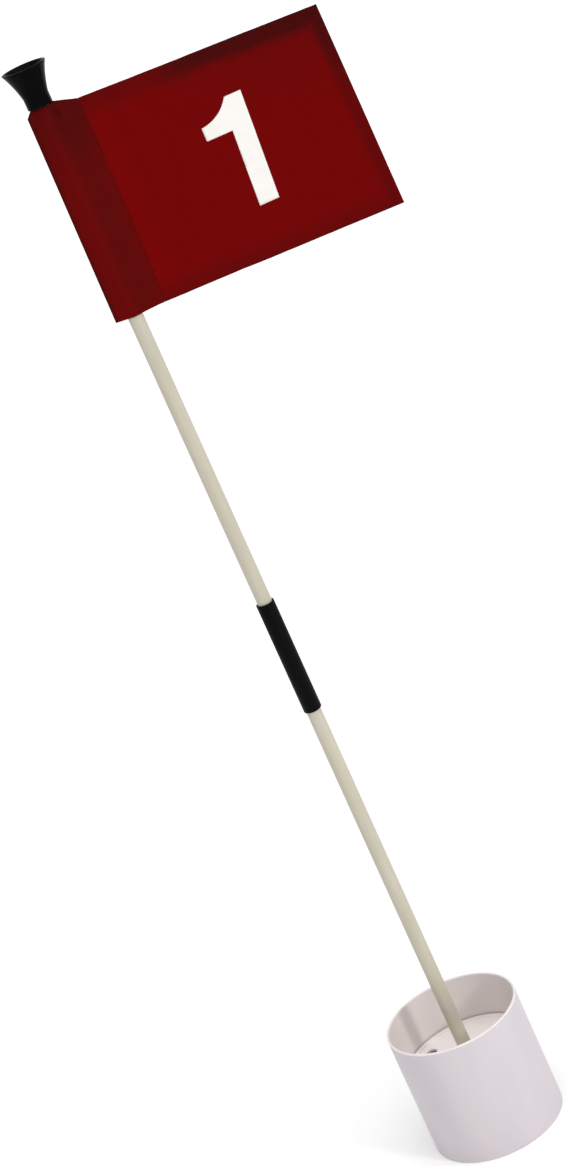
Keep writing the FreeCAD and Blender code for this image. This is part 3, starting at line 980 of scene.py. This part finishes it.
def stitch_at(bm, place, along, out):
    """One stitch: a small lens of thread."""
    side = along.cross(out).normalized()
    turn = Matrix((along.normalized(), side, out.normalized())).transposed().to_4x4()
    size = Matrix.Diagonal((STITCH_LENGTH / 2, STITCH_R, STITCH_R, 1))
    bmesh.ops.create_uvsphere(bm, u_segments=6, v_segments=5, radius=1,
                              matrix=Matrix.Translation(place) @ turn @ size)


def sew_panel(bm, cloth, start, end, distance):
    """Stitches on the panel between two (along, up) places, that far behind the cloth."""
    start, end = np.array(start), np.array(end)
    count = int(np.linalg.norm((end - start) * cloth.size) / STITCH_PITCH)
    share = start + (end - start) * ((np.arange(count) + 0.5) / count)[:, None]
    way = cloth.step(share, (end - start) / np.linalg.norm(end - start))
    for point, along, back in zip(cloth.behind(share, distance), way, cloth.back(share)):
        stitch_at(bm, Vector(point), Vector(along), Vector(back))


def make_hem_stitches(cloth, material):
    """Lock stitch just inside the hems' free edges, on the front and on the back."""
    rise = (LONG_HEM - SEAM_INSET) / cloth.size[1]
    reach = 1 - (FLY_HEM - SEAM_INSET) / cloth.size[0]
    corners = [(0.004, rise), (reach, rise), (reach, 1 - rise), (0.004, 1 - rise)]
    bm = bmesh.new()
    for distance in (-NYLON / 2, NYLON / 2 + FOLDED):
        for start, end in zip(corners, corners[1:]):
            sew_panel(bm, cloth, start, end, distance)
    piece = object_from("hem_lock_stitches", bm, 60)
    return finish_piece(piece, "flag", material, "hem_stitching")


# ---- Pole pocket ----

class Pocket:
    """The cloth sleeve on the rod: a sheet folded round it and closed by a flat tail."""

    def __init__(self, corners):
        self.foot, self.top = foot_of("flag_pocket"), top_of("flag_pocket")
        self.seam_foot, self.seam_top = corners[0], corners[3]
        self.rod = radius_of("upper_rod")
        self.ring = radius_of("flag_stop_ring")
        self.ring_z = (foot_of("flag_stop_ring") + top_of("flag_stop_ring")) / 2
        self.tack_z = (foot_of("pocket_tacks") + top_of("pocket_tacks")) / 2

    def seam_x(self, z):
        share = (z - self.seam_foot[1]) / (self.seam_top[1] - self.seam_foot[1])
        return self.seam_foot[0] + share * (self.seam_top[0] - self.seam_foot[0])

    def section(self, z):
        """The front half of the sleeve at height z, from the fold to the seam: x and y along
        it, and the distance along the cloth."""
        seam = self.seam_x(z)
        ring = math.exp(-((z - self.ring_z) / (5 * MM)) ** 2)
        bulge = self.rod + 0.7 * MM + ring * (self.ring - self.rod - 0.25 * MM)
        flat = NYLON * 0.55
        circles = np.array([
            (seam - POCKET_FLAT + FOLD_R, FOLD_R),
            (0, bulge),
            (seam - POCKET_TAIL, flat),
        ])
        angles = np.linspace(math.pi, 0.3 * math.pi, 160)
        reach = circles[:, 0, None] * np.cos(angles) + circles[:, 1, None]
        chosen = circles[np.argmax(reach, axis=0)]
        x = chosen[:, 0] + chosen[:, 1] * np.cos(angles)
        y = chosen[:, 1] * np.sin(angles)
        keep = x < seam - POCKET_TAIL
        x = np.append(x[keep], [seam - POCKET_TAIL, seam])
        y = np.append(y[keep], [flat, flat])
        return x, y, np.append(0, np.cumsum(np.hypot(np.diff(x), np.diff(y))))

    def height(self, x, share):
        """The height at a share of the way from the sleeve's foot to its sloping top."""
        fold = self.seam_x(self.top) - POCKET_FLAT
        top = np.interp(x, [fold, fold + POCKET_CORNER, POCKET_SHOULDER, self.seam_top[0]],
                        [self.top - POCKET_CORNER, self.top, self.top, self.seam_top[1]])
        foot = np.interp(x, [POCKET_SHOULDER, self.seam_foot[0]], [self.foot + POCKET_FOOT_FALL, self.foot])
        return foot + share * (top - foot)

    def points(self, share):
        """Points on the cloth. Along goes from 0, the front seam edge, through the fold at
        0.5 to 1, the back seam edge."""
        sections = {u: self.section(self.foot + u * (self.top - self.foot)) for u in set(share[:, 1])}
        found = []
        for along, up in share:
            line_x, line_y, length = sections[up]
            at = abs(2 * along - 1) * length[-1]
            x, y = np.interp(at, length, line_x), np.interp(at, length, line_y)
            z = self.height(x, up)
            side = 1 if along > 0.5 else -1
            found.append((x, side * self.wrinkled(x, y, z, side) if y > 1e-9 else 0.0, z))
        return found

    def wrinkled(self, x, y, z, side):
        """The half thickness y with the pinch at the bar tacks and the cloth's soft folds."""
        reach = PINCH_ABOVE if z > self.tack_z else PINCH_BELOW
        pinch = math.exp(-((z - self.tack_z) / reach) ** 2)
        pinch *= math.exp(-((abs(x) - TACK_X) / PINCH_WIDTH) ** 2)
        pinched = y + pinch * (min(y, TACK_GAP) - y)
        loose = min(max((abs(x) - self.rod - 0.5 * MM) / (3 * MM), 0), 1)
        loose *= min(max((self.seam_x(z) - POCKET_TAIL - x) / (4 * MM), 0), 1)
        loose *= min(y / (1.2 * MM), 1)
        drawn = math.exp(-(self.tack_z - z) / DRAWN_BELOW) if z < self.tack_z else 1.0
        fold = noise.noise(Vector((x * 190, side * 3.1, z * 42))) * (0.35 + 0.5 * drawn) * MM
        return max(pinched + loose * fold, NYLON * 0.5)


def make_pocket(pocket, material):
    """The sleeve's cloth, folded round the rod from seam edge to seam edge."""
    bm = grid(96, 66)
    share = shares_of(bm)
    length = pocket.section(pocket.foot)[2][-1]
    heights = (pocket.top - pocket.foot) * share[:, 1]
    map_cloth(bm, np.stack([(2 * share[:, 0] - 1) * length, heights], axis=1))
    put(bm, pocket.points(share))
    bmesh.ops.recalc_face_normals(bm, faces=bm.faces)
    piece = object_from("pole_pocket_cloth", bm, 80)
    smooth = piece.modifiers.new("smooth", "SUBSURF")
    smooth.levels = smooth.render_levels = 1
    thicken(piece, NYLON)
    return finish_piece(piece, "flag", material, "flag_pocket")


def make_pocket_stitches(pocket, material):
    """Lock stitch through the pocket's flat tail, on the front and on the back."""
    bm = bmesh.new()
    foot = pocket.seam_foot[1] + SEAM_INSET
    count = int((pocket.seam_top[1] - foot) / STITCH_PITCH)
    lean = (pocket.seam_top[0] - pocket.seam_foot[0]) / (pocket.seam_top[1] - pocket.seam_foot[1])
    for index in range(count):
        z = foot + (index + 0.5) * STITCH_PITCH
        for side in (-1, 1):
            place = Vector((pocket.seam_x(z) - SEAM_INSET, side * NYLON * 1.05, z))
            stitch_at(bm, place, Vector((lean, 0, 1)), Vector((0, side, 0)))
    piece = object_from("pocket_lock_stitches", bm, 60)
    return finish_piece(piece, "flag", material, "pocket_stitching")


def make_bar_tacks(pocket, material):
    """Satin bars that pinch the sleeve on both sides of the rod, above the stop ring."""
    bm = bmesh.new()
    reach = TACK_GAP + NYLON / 2
    for side in (-1, 1):
        core = Matrix.Translation((side * TACK_X, 0, pocket.tack_z))
        size = Matrix.Diagonal((TACK_LENGTH * 0.9, 2 * reach, TACK_BAR, 1))
        block = bmesh.ops.create_cube(bm, size=1, matrix=core @ size)
        edges = list({edge for vertex in block["verts"] for edge in vertex.link_edges})
        bmesh.ops.bevel(bm, geom=edges, offset=0.25 * MM, offset_type="OFFSET", affect="EDGES",
                        segments=2, profile=0.5, material=-1)
        for index in range(TACK_THREADS):
            x = side * TACK_X + (index / (TACK_THREADS - 1) - 0.5) * TACK_LENGTH
            for face in (-1, 1):
                place = Vector((x, face * reach, pocket.tack_z))
                stitch_at(bm, place, Vector((0, 0, 1)), Vector((0, face, 0)))
    piece = object_from("pocket_bar_tacks", bm, 60)
    return finish_piece(piece, "flag", material, "pocket_tacks")


# ---- Studio ----

def make_camera():
    """Long lens from in front and above, rolled so that the stick leans across the frame."""
    data = bpy.data.cameras.new("camera")
    data.lens = LENS
    data.sensor_width = 36
    data.clip_end = 100
    camera = bpy.data.objects.new("camera", data)
    bpy.context.scene.collection.objects.link(camera)
    forward = Vector((math.sin(PAN) * math.cos(TILT), math.cos(PAN) * math.cos(TILT), -math.sin(TILT)))
    right = Vector((math.cos(PAN), -math.sin(PAN), 0))
    down = forward.cross(right)
    side = right * math.cos(ROLL) + down * math.sin(ROLL)
    below = down * math.cos(ROLL) - right * math.sin(ROLL)
    turn = Matrix((side, -below, -forward)).transposed().to_4x4()
    camera.matrix_world = Matrix.Translation(CAMERA_PLACE) @ turn
    bpy.context.scene.camera = camera


def make_floor(material):
    bm = bmesh.new()
    bmesh.ops.create_circle(bm, cap_ends=True, cap_tris=False, segments=96, radius=30)
    floor = object_from("studio_floor", bm)
    floor.data.materials.append(material)


def make_lamp(name, kind, strength, direction, **settings):
    """A lamp that shines along a direction."""
    data = bpy.data.lights.new(name, kind)
    data.energy = strength
    for key, value in settings.items():
        setattr(data, key, value)
    lamp = bpy.data.objects.new(name, data)
    bpy.context.scene.collection.objects.link(lamp)
    lamp.rotation_euler = Vector(direction).to_track_quat("-Z", "Y").to_euler()
    return lamp


def make_light():
    """An even white surround, a broad soft light from above and a low one from the front right."""
    world = bpy.data.worlds.new("studio")
    world.use_nodes = True
    surround = world.node_tree.nodes["Background"]
    surround.inputs["Color"].default_value = (1.0, 1.0, 1.0, 1.0)
    surround.inputs["Strength"].default_value = SURROUND
    bpy.context.scene.world = world
    make_lamp("overhead", "SUN", 1.3, (-0.1, 0.25, -1.0), angle=math.radians(70))
    make_lamp("side", "SUN", 0.8, (-0.596, 0.710, -0.375), angle=math.radians(7))
    bpy.context.scene.view_settings.view_transform = "Standard"


# ---- Assembly ----

def panel_layer_shade(finish, place):
    """Painted shade where the hems lie behind the panel. The foot hem shows least and the head hem most,
    towards the fly, where the open cloth gets a broad painted shade too."""
    wide, high = size_of(corners_of("flag_panel"))
    drift = (finish.cloud(place, 45, 2) - 0.5) * (5 * MM)
    along = finish.axis(place, "X") + drift
    up = finish.axis(place, "Y") + drift
    fly = along.above(wide - FLY_HEM, 8 * MM) * (0.45 + 0.3 * up.above(high * 0.68, high * 0.4))
    top = up.above(high - LONG_HEM * 0.85, 12 * MM) * (0.4 + 0.55 * along.above(wide * 0.36, wide * 0.2))
    foot = (1 - up.above(LONG_HEM * 0.7, 9 * MM)) * 0.3
    selvedge = (1 - up.above(2 * MM, 4 * MM)) * 0.6
    seam = (1 - along.above(1 * MM, 5 * MM)) * 0.5
    # painted shade over the top of the fly half
    fly_top_shade = up.above(high * 0.75, high * 0.4) * along.above(wide * 0.5, wide * 0.4) * 0.2
    return fly.either(top).either(foot).either(selvedge).either(seam) + fly_top_shade


def panel_lit(finish, place):
    """Painted highlight: two soft ripples beside the seam that catch the light."""
    drift = (finish.cloud(finish.stretched(place, (1, 0.5, 1)), 30, 2) - 0.5) * (10 * MM)
    along = finish.axis(place, "X") + drift
    near = 1 - along.above(15 * MM, 8 * MM)
    second = along.above(25 * MM, 6 * MM) * (1 - along.above(34 * MM, 10 * MM)) * 0.5
    return near.either(second)


def hem_doubled(finish, place):
    """More layers everywhere, with a little less light where the folds press together."""
    return finish.cloud(place, 60, 3).above(0.35, 0.6)


def pocket_shade(finish, place):
    """Painted shade on the sleeve's cloth: dark between the rod and the seam, where the flank is shaded,
    and at the fold; darker towards the top too.
    """
    drift = (finish.cloud(finish.stretched(place, (1, 0.5, 1)), 40, 2) - 0.5) * (5 * MM)
    along = finish.axis(place, "X").size() + drift
    band = along.above(18 * MM, 10 * MM) * (0.58 - 0.28 * along.above(36 * MM, 8 * MM))
    fold = (1 - along.above(3 * MM, 6 * MM)) * 0.9
    return band.either(fold) + finish.axis(place, "Y").above(128 * MM, 55 * MM) * 0.55


def nowhere_lit(finish, place):
    """A sheet with no ripple of its own, only the odd paler thread."""
    return finish.cloud(place, 300, 2).above(0.75, 0.1) * 0.3


def make_flag():
    single, double = colour(110, 4, 4), colour(66, 9, 9)
    panel_cloth = red_nylon("red_cloth_panel", single, double, panel_layer_shade, panel_lit)
    hem_cloth = red_nylon("red_cloth_hem", colour(85, 8, 8), double, hem_doubled, nowhere_lit)
    # colour(77, 9, 8) is the sleeve's painted shade
    pocket_cloth = red_nylon("red_cloth_pocket", colour(101, 7, 7), colour(77, 9, 8),
                             pocket_shade, nowhere_lit)
    thread, print_film = red_thread(), white_film()
    corners = corners_of("flag_panel")
    cloth = Cloth(corners)
    rise = LONG_HEM / cloth.size[1]
    reach = 1 - FLY_HEM / cloth.size[0]
    behind = (NYLON + FOLDED) / 2
    panel = make_patch("flag_cloth", cloth, (0, 0), (1, 1), 0, NYLON, "flag_panel", panel_cloth)
    hems = [
        make_patch("foot_hem", cloth, (0, 0), (1, rise), behind, FOLDED, "bottom_hem", hem_cloth),
        make_patch("head_hem", cloth, (0, 1 - rise), (1, 1), behind, FOLDED, "top_hem", hem_cloth),
        make_patch("fly_edge_hem", cloth, (reach, rise), (1, 1 - rise), behind, FOLDED, "fly_hem",
                   hem_cloth),
    ]
    front = -(NYLON + FILM) / 2
    numbers = [
        make_number("numeral_front", "number_front", cloth, front, print_film),
        make_number("numeral_back", "number_back", cloth, -front, print_film),
    ]
    hem_stitches = make_hem_stitches(cloth, thread)
    pocket = Pocket(corners)
    sleeve = make_pocket(pocket, pocket_cloth)
    seam = make_pocket_stitches(pocket, thread)
    tacks = make_bar_tacks(pocket, thread)
    numbers + [hem_stitches] + hems


def make_cup():
    plastic = white_plastic()
    make_cup_wall(plastic)
    make_cup_floor(plastic)
    make_socket_bush(bush_plastic())


def make_stick():
    rod, plastic, rubber = fibreglass(), black_plastic(), black_rubber()
    make_rod("stick_lower_rod", "lower_rod", "lower_section", rod)
    make_rod("stick_upper_rod", "upper_rod", "upper_section", rod)
    make_plug("stick_foot_plug", "foot_plug", "lower_section", FOOT_HEAD, FOOT_CHAMFER, plastic)
    make_plug("stick_joint_plug", "upper_rod_plug", "upper_section", JOINT_HEAD, JOINT_CHAMFER, plastic)
    make_sleeve(plastic)
    make_bell(rubber)
    make_stop_ring(rubber)


make_camera()
make_light()
make_floor(pale_floor())
make_cup()
make_stick()
make_flag()
